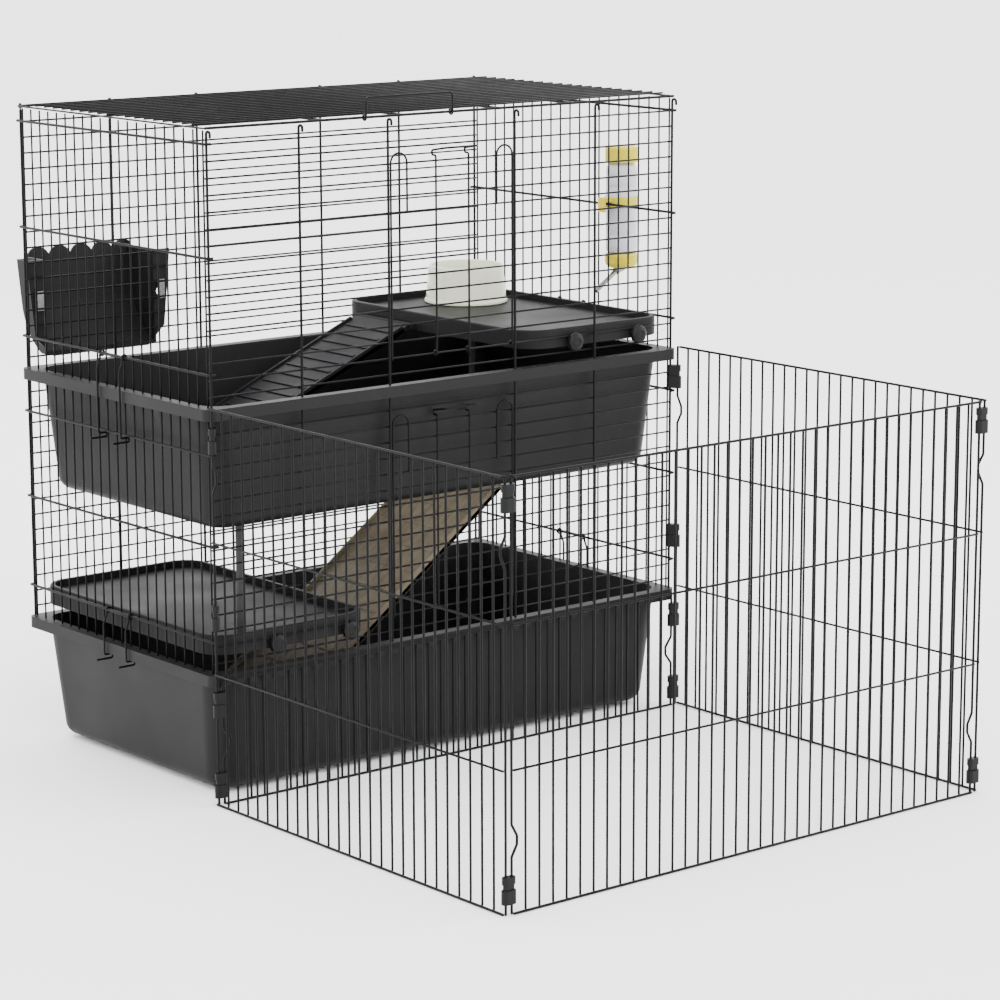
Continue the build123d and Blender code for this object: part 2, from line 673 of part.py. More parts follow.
def build_fittings():
    """Roof, catches, knobs, ramps, rack, bowl and bottle."""
    save("roof_panel", *roof_panel())
    save("roof_bail", roof_bail())
    for side, word in ((-1, "left"), (1, "right")):
        lower_hinge = rim_top(0) + SIDE_BARS_LOWER[0]
        upper_hinge = rim_top(1) + SIDE_BARS_UPPER[0]
        lower_foot = TUB_HEIGHT - RIM_BAND - 2.6
        upper_foot = rim_top(0) + SIDE_BARS_LOWER[2] - HEAVY - GAP - HOOK
        save(f"tub_latch_lower_{word}", tub_latch(side, lower_hinge, lower_foot))
        save(f"tub_latch_upper_{word}", tub_latch(side, upper_hinge, upper_foot))
    for tier, word, places in ((0, "lower", KNOBS_LOWER), (1, "upper", KNOBS_UPPER)):
        for number, x in enumerate(places, start=1):
            save(f"knob_{word}_front_{number}", clamp_knob(x, -1, tier))
            save(f"knob_{word}_back_{number}", clamp_knob(x, 1, tier))
    save("upper_ramp", ramp(UPPER_RAMP, 4.0))
    save("lower_ramp", ramp(LOWER_RAMP, 6.0))
    platform_edge = UPPER_PLATFORM_X - PLATFORM_WIDTH / 2
    save("upper_ramp_hinge", ramp_hinge(UPPER_RAMP, {"x": (141.0, platform_edge), "z": (607.0, 617.0)}))
    save("lower_ramp_hinge", ramp_hinge(LOWER_RAMP, {"x": (176.0, 190.0), "z": (379.0, TIER_RISE)}))
    save("hay_rack", hay_rack())
    save("hay_rack_studs", *[rack_stud(RACK_X + side * STUD_HALF_SPAN) for side in (-1, 1)])
    save("bowl", bowl())
    for name, piece in bottle_pieces().items():
        save(name, piece)


def build_pen():
    """Playpen panels and the clips that join them to the cage."""
    save("pen_left", *pen_side(-1))
    save("pen_right", *pen_side(1))
    save("pen_front", *pen_front_panel())
    save("pen_short_back", *pen_short_panel())
    for name, piece in clips().items():
        save(name, piece)


os.makedirs("parts", exist_ok=True)
build_tiers()
build_fittings()
build_pen()
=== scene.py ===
import math

import bmesh
import bpy
from bpy.props import FloatProperty, FloatVectorProperty, IntProperty, PointerProperty
from mathutils import Matrix, Vector


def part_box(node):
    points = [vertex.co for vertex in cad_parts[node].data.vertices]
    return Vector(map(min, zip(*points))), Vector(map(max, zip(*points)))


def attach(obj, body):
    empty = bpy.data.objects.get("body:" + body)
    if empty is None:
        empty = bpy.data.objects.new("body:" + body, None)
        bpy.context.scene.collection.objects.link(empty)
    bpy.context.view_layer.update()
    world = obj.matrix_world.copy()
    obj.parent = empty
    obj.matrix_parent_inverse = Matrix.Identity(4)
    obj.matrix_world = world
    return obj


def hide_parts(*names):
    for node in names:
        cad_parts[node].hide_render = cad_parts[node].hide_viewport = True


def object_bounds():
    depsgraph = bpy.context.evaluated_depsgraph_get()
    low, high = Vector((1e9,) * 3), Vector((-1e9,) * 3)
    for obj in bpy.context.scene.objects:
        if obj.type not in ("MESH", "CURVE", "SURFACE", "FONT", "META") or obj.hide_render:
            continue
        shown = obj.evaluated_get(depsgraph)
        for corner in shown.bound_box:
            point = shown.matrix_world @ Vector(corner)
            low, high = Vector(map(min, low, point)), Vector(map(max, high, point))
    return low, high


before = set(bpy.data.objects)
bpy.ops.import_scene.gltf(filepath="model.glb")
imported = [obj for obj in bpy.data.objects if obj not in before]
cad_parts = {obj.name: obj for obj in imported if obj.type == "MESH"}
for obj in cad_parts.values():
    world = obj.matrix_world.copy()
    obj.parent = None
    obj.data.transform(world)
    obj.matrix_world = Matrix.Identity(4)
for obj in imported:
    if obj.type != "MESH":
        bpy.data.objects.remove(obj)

bl_info = {
    "name": "Wire Rabbit Cage",
    "version": (1, 0, 0),
    "blender": (4, 5, 0),
    "location": "View3D > Sidebar > Rabbit Cage",
    "description": "Builds the finished surfaces of a two-tier wire rabbit cage with a playpen",
    "category": "Add Mesh",
}

CAD_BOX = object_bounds()
PLANES = {name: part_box(name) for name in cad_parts}

# Planes, levels and counts that the pieces share, in metres
RIMS = tuple(PLANES[f"{tier}_tub"][1].z for tier in ("lower", "upper"))
WALL_X = 0.44             # plane of the side walls' close-set wires
WALL_Y = 0.244            # plane of the front and back walls' close-set wires
UPRIGHTS = (-0.4392, -0.28, -0.12, 0.12, 0.28, 0.4392)
FIRST_BAR = 0.016         # lowest bar above a tub's rim
TIER_BARS = (15, 16)      # bars up the front and back of each tier
DOOR_BARS = range(2, 14)  # the bars that belong to the door
SIDE_WIRES = 21           # upright wires along a side wall
SIDE_LEVELS = ((0.049, 0.190, 0.323), (0.049, 0.216, 0.377))
DOOR_HALF = 0.115         # door's middle to its uprights
HEAD_RISE = 0.0155        # top bar of the door to the crown of its loops
LATCH_HALF = 0.031
CATCH_HALF = 0.03
ROOF_Z = 0.98             # roof frame
ROOF_Y = 0.2474           # roof's hinge and front wires
ROOF_PITCH = 0.0244
BAIL_Y = -0.2513
PEN_X = 0.446             # side panels
PEN_INNER_X = 0.436       # end wires of the front and short panels
PEN_BACK_Y, PEN_FRONT_Y = -0.2575, -0.914
PEN_TOP = 0.584
PEN_BASE = 0.0019
WELD = 0.0017             # radius of a weld bead


class WireSettings(bpy.types.PropertyGroup):
    """Sizes of the cage and pen wires."""
    heavy: FloatProperty(
        name="Main wire", description="Radius of the main wires",
        default=0.0020, unit="LENGTH")
    light: FloatProperty(
        name="Close wire", description="Radius of the close-set wires",
        default=0.0014, unit="LENGTH")
    hook: FloatProperty(
        name="Hook wire", description="Radius of latch and door wires",
        default=0.0016, unit="LENGTH")
    pen_frame: FloatProperty(
        name="Pen frame", description="Radius of the pen's frame wires",
        default=0.0019, unit="LENGTH")
    pen_mesh: FloatProperty(
        name="Pen mesh", description="Radius of the pen's mesh wires",
        default=0.0017, unit="LENGTH")
    pitch: FloatProperty(
        name="Bar pitch", description="Spacing of the close-set wires",
        default=0.024, unit="LENGTH")
    sides: IntProperty(name="Sides", description="Facets round each wire", default=10, min=6, max=24)


class FinishSettings(bpy.types.PropertyGroup):
    """Colours of the materials."""
    wire: FloatVectorProperty(
        name="Wire coat", description="Powder coat colour",
        subtype="COLOR", size=3, default=(0.0022, 0.0022, 0.0025))
    tub: FloatVectorProperty(
        name="Tub", description="Tub plastic colour",
        subtype="COLOR", size=3, default=(0.0070, 0.0066, 0.0068))
    platform: FloatVectorProperty(
        name="Platform", description="Platform plastic colour",
        subtype="COLOR", size=3, default=(0.0105, 0.0103, 0.0110))
    board: FloatVectorProperty(
        name="Ramp board", description="Tan ramp colour",
        subtype="COLOR", size=3, default=(0.125, 0.105, 0.073))
    glaze: FloatVectorProperty(
        name="Bowl glaze", description="Cream glaze colour",
        subtype="COLOR", size=3, default=(0.58, 0.60, 0.46))
    cap: FloatVectorProperty(
        name="Bottle cap", description="Yellow plastic colour",
        subtype="COLOR", size=3, default=(0.52, 0.43, 0.025))
    bottle: FloatVectorProperty(
        name="Bottle", description="Translucent bottle colour",
        subtype="COLOR", size=3, default=(0.66, 0.65, 0.70))


# Shared shader effects

def new_group(name, inputs, outputs):
    """Empty shader node group with named sockets."""
    group = bpy.data.node_groups.new(name, "ShaderNodeTree")
    for label, kind, value in inputs:
        socket = group.interface.new_socket(name=label, in_out="INPUT", socket_type=kind)
        socket.default_value = value
    for label, kind in outputs:
        group.interface.new_socket(name=label, in_out="OUTPUT", socket_type=kind)
    return group, group.nodes.new("NodeGroupInput"), group.nodes.new("NodeGroupOutput")


def link(tree, source, target):
    tree.links.new(source, target)


def noise(tree, vector, scale, detail):
    """Noise texture on the given coordinates; scale may be a number or a socket."""
    node = tree.nodes.new("ShaderNodeTexNoise")
    node.inputs["Detail"].default_value = detail
    link(tree, vector, node.inputs["Vector"])
    if isinstance(scale, (int, float)):
        node.inputs["Scale"].default_value = scale
    else:
        link(tree, scale, node.inputs["Scale"])
    return node


def spread(tree, value, low, high, to_low, to_high):
    """Map Range node from one span of values to another."""
    node = tree.nodes.new("ShaderNodeMapRange")
    for label, setting in (("From Min", low), ("From Max", high), ("To Min", to_low), ("To Max", to_high)):
        if isinstance(setting, (int, float)):
            node.inputs[label].default_value = setting
        else:
            link(tree, setting, node.inputs[label])
    link(tree, value, node.inputs["Value"])
    return node.outputs["Result"]


def mottle_group():
    """Uneven tone, uneven gloss and a fine grain height, for plastics and glazes."""
    group, inside, out = new_group(
        "uneven_surface",
        [("Vector", "NodeSocketVector", (0, 0, 0)), ("Base", "NodeSocketColor", (0.5, 0.5, 0.5, 1)),
         ("Tone Spread", "NodeSocketFloat", 0.15), ("Gloss Low", "NodeSocketFloat", 0.35),
         ("Gloss High", "NodeSocketFloat", 0.5), ("Patch Scale", "NodeSocketFloat", 9.0),
         ("Grain Scale", "NodeSocketFloat", 900.0)],
        [("Color", "NodeSocketColor"), ("Roughness", "NodeSocketFloat"), ("Height", "NodeSocketFloat")],
    )
    patches = noise(group, inside.outputs["Vector"], inside.outputs["Patch Scale"], 5.0)
    grain = noise(group, inside.outputs["Vector"], inside.outputs["Grain Scale"], 2.0)
    tone = group.nodes.new("ShaderNodeMath")
    tone.operation = "MULTIPLY_ADD"
    link(group, spread(group, patches.outputs["Fac"], 0.3, 0.7, -1.0, 1.0), tone.inputs[0])
    link(group, inside.outputs["Tone Spread"], tone.inputs[1])
    tone.inputs[2].default_value = 1.0
    scaled = group.nodes.new("ShaderNodeVectorMath")
    scaled.operation = "SCALE"
    link(group, inside.outputs["Base"], scaled.inputs[0])
    link(group, tone.outputs[0], scaled.inputs["Scale"])
    link(group, scaled.outputs[0], out.inputs["Color"])
    gloss = spread(group, patches.outputs["Fac"], 0.3, 0.7, inside.outputs["Gloss Low"], inside.outputs["Gloss High"])
    link(group, gloss, out.inputs["Roughness"])
    link(group, grain.outputs["Fac"], out.inputs["Height"])
    return group


def wear_group():
    """Thin scattered scratches as a mask from 0 to 1."""
    group, inside, out = new_group(
        "scattered_scratches",
        [("Vector", "NodeSocketVector", (0, 0, 0)), ("Density", "NodeSocketFloat", 0.5)],
        [("Mask", "NodeSocketFloat")],
    )
    bend = noise(group, inside.outputs["Vector"], 14.0, 3.0)
    stretch = group.nodes.new("ShaderNodeMapping")
    stretch.inputs["Scale"].default_value = (160.0, 9.0, 30.0)
    stretch.inputs["Rotation"].default_value = (0.3, 0.2, 0.7)
    link(group, inside.outputs["Vector"], stretch.inputs["Vector"])
    streaks = noise(group, stretch.outputs["Vector"], 1.0, 3.0)
    thin = spread(group, streaks.outputs["Fac"], 0.62, 0.70, 0.0, 1.0)
    place = spread(group, bend.outputs["Fac"], 0.5, 0.7, 0.0, inside.outputs["Density"])
    both = group.nodes.new("ShaderNodeMath")
    both.operation = "MULTIPLY"
    link(group, thin, both.inputs[0])
    link(group, place, both.inputs[1])
    link(group, both.outputs[0], out.inputs["Mask"])
    return group


def coordinates(tree):
    return tree.nodes.new("ShaderNodeTexCoord").outputs["Object"]


def place_group(tree, name, values):
    """Puts a shared effect in a material with its own values."""
    node = tree.nodes.new("ShaderNodeGroup")
    node.node_tree = bpy.data.node_groups[name]
    for label, value in values.items():
        node.inputs[label].default_value = value
    link(tree, coordinates(tree), node.inputs["Vector"])
    return node


def bump(tree, shader, height, strength, distance):
    node = tree.nodes.new("ShaderNodeBump")
    node.inputs["Strength"].default_value = strength
    node.inputs["Distance"].default_value = distance
    link(tree, height, node.inputs["Height"])
    link(tree, node.outputs["Normal"], shader.inputs["Normal"])


def coated(name, color, tone, gloss, patch, grain, grain_depth, scratches=0.0,
           scratch_tone=(0.2, 0.2, 0.2), metallic=0.0, coat=0.0, specular=0.14):
    """Material with uneven tone and gloss, a grain and scratches."""
    material = bpy.data.materials.new(name)
    material.use_nodes = True
    tree = material.node_tree
    shader = tree.nodes["Principled BSDF"]
    shader.inputs["Metallic"].default_value = metallic
    shader.inputs["Coat Weight"].default_value = coat
    shader.inputs["Coat Roughness"].default_value = 0.12
    shader.inputs["Specular IOR Level"].default_value = 0.5 if metallic else specular
    surface = place_group(tree, "uneven_surface", {
        "Base": (*color, 1), "Tone Spread": tone, "Gloss Low": gloss[0], "Gloss High": gloss[1],
        "Patch Scale": patch, "Grain Scale": grain,
    })
    base = surface.outputs["Color"]
    if scratches:
        marks = place_group(tree, "scattered_scratches", {"Density": scratches})
        mix = tree.nodes.new("ShaderNodeMix")
        mix.data_type = "RGBA"
        mix.inputs[7].default_value = (*scratch_tone, 1)
        link(tree, marks.outputs["Mask"], mix.inputs[0])
        link(tree, base, mix.inputs[6])
        base = mix.outputs[2]
    link(tree, base, shader.inputs["Base Color"])
    link(tree, surface.outputs["Roughness"], shader.inputs["Roughness"])
    bump(tree, shader, surface.outputs["Height"], 0.6, grain_depth)
    return material


def board_material(color):
    """Tan board with long fibres running down the ramp."""
    material = coated("tan_board", color, 0.10, (0.5, 0.68), 12.0, 700.0, 0.0001)
    tree = material.node_tree
    shader = tree.nodes["Principled BSDF"]
    turn = tree.nodes.new("ShaderNodeMapping")
    turn.inputs["Rotation"].default_value = (0.0, 0.63, 0.0)
    turn.inputs["Scale"].default_value = (4.0, 95.0, 60.0)
    link(tree, coordinates(tree), turn.inputs["Vector"])
    fibres = noise(tree, turn.outputs["Vector"], 1.0, 6.0)
    tones = tree.nodes.new("ShaderNodeValToRGB")
    dark, pale = tones.color_ramp.elements
    dark.position, pale.position = 0.32, 0.66
    dark.color = (color[0] * 0.72, color[1] * 0.70, color[2] * 0.66, 1)
    pale.color = (*(c * 1.1 for c in color), 1)
    link(tree, fibres.outputs["Fac"], tones.inputs["Fac"])
    link(tree, tones.outputs["Color"], shader.inputs["Base Color"])
    return material


def bottle_material(color):
    """Milky translucent plastic with uneven gloss."""
    material = coated("bottle_plastic", color, 0.05, (0.12, 0.25), 30.0, 400.0, 0.00005, coat=0.4)
    shader = material.node_tree.nodes["Principled BSDF"]
    shader.inputs["Transmission Weight"].default_value = 0.35
    shader.inputs["IOR"].default_value = 1.45
    return material


def make_materials(finish):
    """Every material by the piece it finishes."""
    mottle_group()
    wear_group()
    black = tuple(finish.wire)
    dull = tuple(c * 0.9 for c in black)
    return {
        "wire": coated(
            "wire_coat", black, tone=0.25, gloss=(0.34, 0.50), patch=40.0, grain=1500.0, grain_depth=0.00006,
            scratches=0.12, scratch_tone=(0.02, 0.02, 0.022), specular=0.10),
        "nuggets": coated(
            "weld_coat", dull, tone=0.3, gloss=(0.3, 0.5), patch=80.0, grain=1800.0, grain_depth=0.0001),
        "tub": coated(
            "tub_plastic", tuple(finish.tub), tone=0.16, gloss=(0.42, 0.58), patch=7.0, grain=1100.0,
            grain_depth=0.00018, scratches=0.35, scratch_tone=(0.022, 0.022, 0.024)),
        "platform": coated(
            "platform_plastic", tuple(finish.platform), tone=0.14, gloss=(0.40, 0.54), patch=9.0, grain=700.0,
            grain_depth=0.00010, scratches=0.45, scratch_tone=(0.028, 0.028, 0.030), specular=0.06),
        "black_plastic": coated(
            "moulded_black", (0.004, 0.004, 0.0045), tone=0.2, gloss=(0.35, 0.5), patch=60.0, grain=1400.0,
            grain_depth=0.0001, scratches=0.2, scratch_tone=(0.02, 0.02, 0.02)),
        "post": coated(
            "post_plastic", (0.025, 0.025, 0.027), tone=0.12, gloss=(0.4, 0.55), patch=25.0, grain=900.0,
            grain_depth=0.0001, scratches=0.2, scratch_tone=(0.10, 0.10, 0.10)),
        "dark_ramp": coated(
            "dark_ramp_plastic", (0.008, 0.008, 0.009), tone=0.20, gloss=(0.50, 0.64), patch=14.0, grain=800.0,
            grain_depth=0.0002, scratches=0.3, scratch_tone=(0.022, 0.022, 0.022), specular=0.06),
        "board": board_material(tuple(finish.board)),
        "glaze": coated(
            "cream_glaze", tuple(finish.glaze), tone=0.05, gloss=(0.10, 0.22), patch=25.0, grain=300.0,
            grain_depth=0.0001, coat=0.6),
        "cap": coated(
            "yellow_cap", tuple(finish.cap), tone=0.06, gloss=(0.22, 0.34), patch=35.0, grain=700.0,
            grain_depth=0.0001),
        "bottle": bottle_material(tuple(finish.bottle)),
        "steel": coated(
            "drawn_steel", (0.20, 0.20, 0.205), tone=0.06, gloss=(0.14, 0.30), patch=60.0, grain=1200.0,
            grain_depth=0.00004, scratches=0.3, scratch_tone=(0.3, 0.3, 0.3), metallic=1.0),
    }


MATERIALS = {}


# Modelling helpers

def finish_piece(bm, name, body, material, nodes=(), bevel=0.0):
    """Turns the bmesh into a piece that rides on a body and stands for its CAD nodes."""
    bmesh.ops.remove_doubles(bm, verts=bm.verts, dist=1e-6)
    bmesh.ops.recalc_face_normals(bm, faces=bm.faces)
    mesh = bpy.data.meshes.new(name)
    bm.to_mesh(mesh)
    bm.free()
    mesh.polygons.foreach_set("use_smooth", [True] * len(mesh.polygons))
    mesh.set_sharp_from_angle(angle=math.radians(40))
    mesh.materials.append(MATERIALS[material])
    piece = bpy.data.objects.new(name, mesh)
    bpy.context.scene.collection.objects.link(piece)
    if bevel:
        rounding = piece.modifiers.new("rounded edges", "BEVEL")
        rounding.width = bevel
        rounding.segments = 2
        rounding.limit_method = "ANGLE"
    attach(piece, body)
    if nodes:
        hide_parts(*nodes)
    return piece


def rounded_path(points, bend):
    """Points of a path with every corner turned on an arc."""
    points = [Vector(p) for p in points]
    if bend <= 0 or len(points) < 3:
        return points
    path = [points[0]]
    for before, corner, after in zip(points, points[1:], points[2:]):
        a, b = (before - corner).normalized(), (after - corner).normalized()
        half = a.angle(b) / 2
        room = 0.49 * min((before - corner).length, (after - corner).length)
        reach = min(bend / math.tan(half), room)
        radius = reach * math.tan(half)
        centre = corner + (a + b).normalized() * (radius / math.sin(half))
        start, end = corner + a * reach - centre, corner + b * reach - centre
        turn = start.rotation_difference(end)
        steps = max(3, int(math.degrees(turn.angle) / 15))
        for step in range(steps + 1):
            part = Matrix.Rotation(turn.angle * step / steps, 3, turn.axis)
            path.append(centre + part @ start)
    path.append(points[-1])
    return path


def facing(direction):
    """Turn that points +Z along a direction."""
    return direction.to_track_quat("Z", "Y").to_matrix().to_4x4()


def add_wire(bm, points, radius, bend=0.0, sides=None):
    """Round wire drawn along the path by extruding a circle, with domed ends."""
    sides = sides or bpy.context.scene.cage_wires.sides
    path = rounded_path(points, bend)
    headings = [(b - a).normalized() for a, b in zip(path, path[1:])]
    start_dome, end_dome = headings[0] * radius * 0.5, -headings[-1] * radius * 0.5
    here, heading = path[0] + start_dome, headings[0]
    ring = bmesh.ops.create_circle(
        bm, segments=sides, radius=radius, matrix=Matrix.Translation(here) @ facing(heading))["verts"]
    start_edges = list({e for v in ring for e in v.link_edges})
    edges = start_edges
    last = len(path) - 1
    for number in range(1, len(path)):
        target = path[number] if number < last else path[number] + end_dome
        into = headings[number - 1]
        out = headings[min(number, last - 1)]
        middle = (into + out).normalized()
        made = bmesh.ops.extrude_edge_only(bm, edges=edges)["geom"]
        verts = [g for g in made if isinstance(g, bmesh.types.BMVert)]
        turn = heading.rotation_difference(middle).to_matrix().to_4x4()
        bmesh.ops.transform(bm, verts=verts, matrix=Matrix.Translation(target) @ turn @ Matrix.Translation(-here))
        edges = [g for g in made if isinstance(g, bmesh.types.BMEdge)]
        here, heading = target, middle
    for loop, centre, way in ((start_edges, path[0], start_dome), (edges, path[-1], end_dome)):
        made = bmesh.ops.extrude_edge_only(bm, edges=loop)["geom"]
        verts = [g for g in made if isinstance(g, bmesh.types.BMVert)]
        inner = centre + way
        bmesh.ops.transform(
            bm, verts=verts,
            matrix=Matrix.Translation(centre) @ Matrix.Diagonal((0.55, 0.55, 0.55, 1)) @ Matrix.Translation(-inner),
        )
        bmesh.ops.contextual_create(bm, geom=[g for g in made if isinstance(g, bmesh.types.BMEdge)])


def add_eye(bm, centre, axis, ring_radius, radius):
    """Closed wire eye, spun from a circle."""
    axis = Vector(axis).normalized()
    out = axis.orthogonal().normalized()
    place = Matrix.Translation(Vector(centre) + out * ring_radius) @ facing(axis.cross(out))
    ring = bmesh.ops.create_circle(bm, segments=10, radius=radius, matrix=place)["verts"]
    edges = list({e for v in ring for e in v.link_edges})
    bmesh.ops.spin(bm, geom=list(ring) + edges, cent=centre, axis=axis, angle=math.tau, steps=18, use_merge=True)


def add_nugget(bm, centre, radius):
    """Small round bead where two wires are welded."""
    bmesh.ops.create_icosphere(bm, subdivisions=1, radius=radius, matrix=Matrix.Translation(centre))


def add_lathe(bm, outline, centre, steps=48):
    """Closed turned shape; the outline is radius and level, from the axis back to the axis."""
    verts = [bm.verts.new((centre[0] + r, centre[1], z)) for r, z in outline]
    edges = [bm.edges.new(pair) for pair in zip(verts, verts[1:])]
    bmesh.ops.spin(bm, geom=verts + edges, cent=(centre[0], centre[1], 0), axis=(0, 0, 1),
                   angle=math.tau, steps=steps, use_merge=True)


def add_block(bm, low, high):
    """Box between two corners."""
    low, high = Vector(low), Vector(high)
    size = high - low
    bmesh.ops.create_cube(bm, size=1.0, matrix=Matrix.Translation((low + high) / 2) @ Matrix.Diagonal((*size, 1)))


def node_material(node, material):
    """Gives a carried node a finished material."""
    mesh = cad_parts[node].data
    mesh.materials.clear()
    mesh.materials.append(MATERIALS[material])


# Wire walls

def wires():
    """Wire sizes set in the scene."""
    return bpy.context.scene.cage_wires


def bar_level(tier, number):
    """Height of a numbered bar on the front or back of a tier."""
    return RIMS[tier] + FIRST_BAR + number * wires().pitch


def face_wall(tier, side, word):
    """Front or back wall of a tier; the upper front curls over and the upper back ends in eyes."""
    w = wires()
    word_side = "front" if side < 0 else "back"
    node = f"{word}_{word_side}_panel"
    low, high = PLANES[node]
    bars_y = side * WALL_Y
    weld_y = side * (WALL_Y + w.light)
    main_y = side * (WALL_Y + w.light + w.heavy)
    whole = ((-0.441, 0.441),)
    either_side_of_door = ((-0.441, -0.1186), (0.1186, 0.441))
    bm, beads = bmesh.new(), bmesh.new()
    for x in UPRIGHTS:
        if tier and side < 0:
            curl_y, curl_z = main_y - 0.009, ROOF_Z - 0.0045
            path = [(x, main_y, low.z), (x, main_y, curl_z), (x, curl_y, curl_z), (x, curl_y, curl_z - 0.009)]
            add_wire(bm, path, w.heavy, 0.004)
        elif tier:
            add_wire(bm, [(x, main_y, low.z), (x, main_y, ROOF_Z - 0.0047)], w.heavy)
            add_eye(bm, (x, main_y, ROOF_Z), (1, 0, 0), 0.0035, 0.0012)
        else:
            add_wire(bm, [(x, main_y, low.z), (x, main_y, high.z)], w.heavy)
    for number in range(TIER_BARS[tier]):
        z = bar_level(tier, number)
        for a, b in either_side_of_door if side < 0 and number in DOOR_BARS else whole:
            add_wire(bm, [(a, bars_y, z), (b, bars_y, z)], w.light, sides=8)
        for x in UPRIGHTS:
            add_nugget(beads, (x, weld_y, z), WELD)
    finish_piece(bm, f"{node}_wires", "cage", "wire", [node])
    finish_piece(beads, f"{node}_welds", "cage", "nuggets", ())


def side_wall(tier, side, word, word_side):
    """Left or right wall of a tier."""
    w = wires()
    node = f"{word}_{word_side}_panel"
    low, high = PLANES[node]
    x = side * WALL_X
    weld_x = side * (WALL_X + w.light)
    out_x = side * (WALL_X + w.light + w.heavy)
    hook_x = out_x - side * 0.009
    reach = 0.2524
    ys = [(number - SIDE_WIRES // 2) * w.pitch for number in range(SIDE_WIRES)]
    bm, beads = bmesh.new(), bmesh.new()
    for y in ys:
        add_wire(bm, [(x, y, low.z), (x, y, high.z)], w.light, sides=8)
    for level in SIDE_LEVELS[tier]:
        z = RIMS[tier] + level
        add_wire(bm, [(hook_x, -reach, z), (out_x, -reach, z), (out_x, reach, z), (hook_x, reach, z)],
                 w.heavy, 0.0026)
        for y in ys:
            add_nugget(beads, (weld_x, y, z), WELD)
    finish_piece(bm, f"{node}_wires", "cage", "wire", [node])
    finish_piece(beads, f"{node}_welds", "cage", "nuggets", ())


class CAGE_OT_walls(bpy.types.Operator):
    """Build the wire walls of both tiers"""
    bl_idname = "rabbit_cage.walls"
    bl_label = "Wire Walls"

    def execute(self, context):
        for tier, word in enumerate(("lower", "upper")):
            face_wall(tier, -1, word)
            face_wall(tier, 1, word)
            side_wall(tier, -1, word, "left")
            side_wall(tier, 1, word, "right")
        return {"FINISHED"}


class CAGE_OT_roof(bpy.types.Operator):
    """Build the roof panel and its carrying bail"""
    bl_idname = "rabbit_cage.roof"
    bl_label = "Roof"

    def execute(self, context):
        w = wires()
        z = ROOF_Z
        end_x, cross_y = 0.4434, 0.24535
        ys = [number * ROOF_PITCH for number in range(-9, 10)]
        bm, beads = bmesh.new(), bmesh.new()
        for side in (-1, 1):
            add_wire(bm, [(-0.442, side * ROOF_Y, z), (0.442, side * ROOF_Y, z)], w.heavy)
            add_wire(bm, [(side * end_x, -ROOF_Y, z), (side * end_x, ROOF_Y, z)], w.light)
        for x in (-0.236, -0.092, 0.092, 0.236):
            add_wire(bm, [(x, -cross_y, z), (x, cross_y, z)], w.heavy)
            for y in ys:
                add_nugget(beads, (x, y, z + 0.002), WELD)
        bar_z = z + 0.0034
        for y in ys:
            add_wire(bm, [(-0.4445, y, bar_z), (0.4445, y, bar_z)], w.light, sides=8)
        finish_piece(bm, "roof_wires", "roof", "wire", ["roof_panel"])
        finish_piece(beads, "roof_welds", "roof", "nuggets", ())
        bail = bmesh.new()
        left, right, crown = -0.162, -0.002, z + 0.029
        path = [(left, BAIL_Y, z), (left, BAIL_Y, crown), (right, BAIL_Y, crown), (right, BAIL_Y, z)]
        add_wire(bail, path, w.hook, 0.006)
        for x in (left, right):
            add_eye(bail, (x, -ROOF_Y, z), (1, 0, 0), 0.0039, w.hook)
        finish_piece(bail, "roof_bail_wire", "roof_bail", "wire", ["roof_bail"])
        return {"FINISHED"}


class CAGE_OT_doors(bpy.types.Operator):
    """Build both wire doors and their latch wires"""
    bl_idname = "rabbit_cage.doors"
    bl_label = "Doors"

    def execute(self, context):
        w = wires()
        for tier, word in enumerate(("lower", "upper")):
            hinge_z, top_z = bar_level(tier, DOOR_BARS[0] - 1), bar_level(tier, DOOR_BARS[-1])
            bm, beads = bmesh.new(), bmesh.new()
            wire_y = -0.247
            for number in DOOR_BARS:
                z = bar_level(tier, number)
                add_wire(bm, [(-0.1164, -WALL_Y, z), (0.1164, -WALL_Y, z)], w.light, sides=8)
                for x in (-DOOR_HALF, DOOR_HALF):
                    add_nugget(beads, (x, -0.2454, z), 0.0015)
            for side in (-1, 1):
                outer, inner = side * DOOR_HALF, side * (DOOR_HALF - 0.03)
                crown = top_z + HEAD_RISE
                path = [(outer, wire_y, hinge_z + 0.001), (outer, wire_y, crown),
                        (inner, wire_y, crown), (inner, wire_y, top_z - 0.072)]
                add_wire(bm, path, w.hook, 0.0149)
                add_eye(bm, (outer, -WALL_Y, hinge_z), (1, 0, 0), 0.0033, w.hook)
            finish_piece(bm, f"{word}_door_wires", f"{word}_door", "wire", [f"{word}_door"])
            finish_piece(beads, f"{word}_door_welds", f"{word}_door", "nuggets", ())
            latch = bmesh.new()
            half = [(-0.2473, hinge_z + 0.0005), (-0.2473, top_z + 0.008), (-0.238, top_z + 0.008),
                    (-0.238, top_z + 0.015), (-0.267, top_z + 0.020)]
            path = [(-LATCH_HALF, y, z) for y, z in half] + [(LATCH_HALF, y, z) for y, z in reversed(half)]
            add_wire(latch, path, w.hook, 0.003)
            for x in (-LATCH_HALF, LATCH_HALF):
                add_eye(latch, (x, -WALL_Y, hinge_z), (1, 0, 0), 0.0033, w.hook)
            name = f"{word}_door_latch"
            finish_piece(latch, f"{name}_wire", name, "wire", [name])
        return {"FINISHED"}


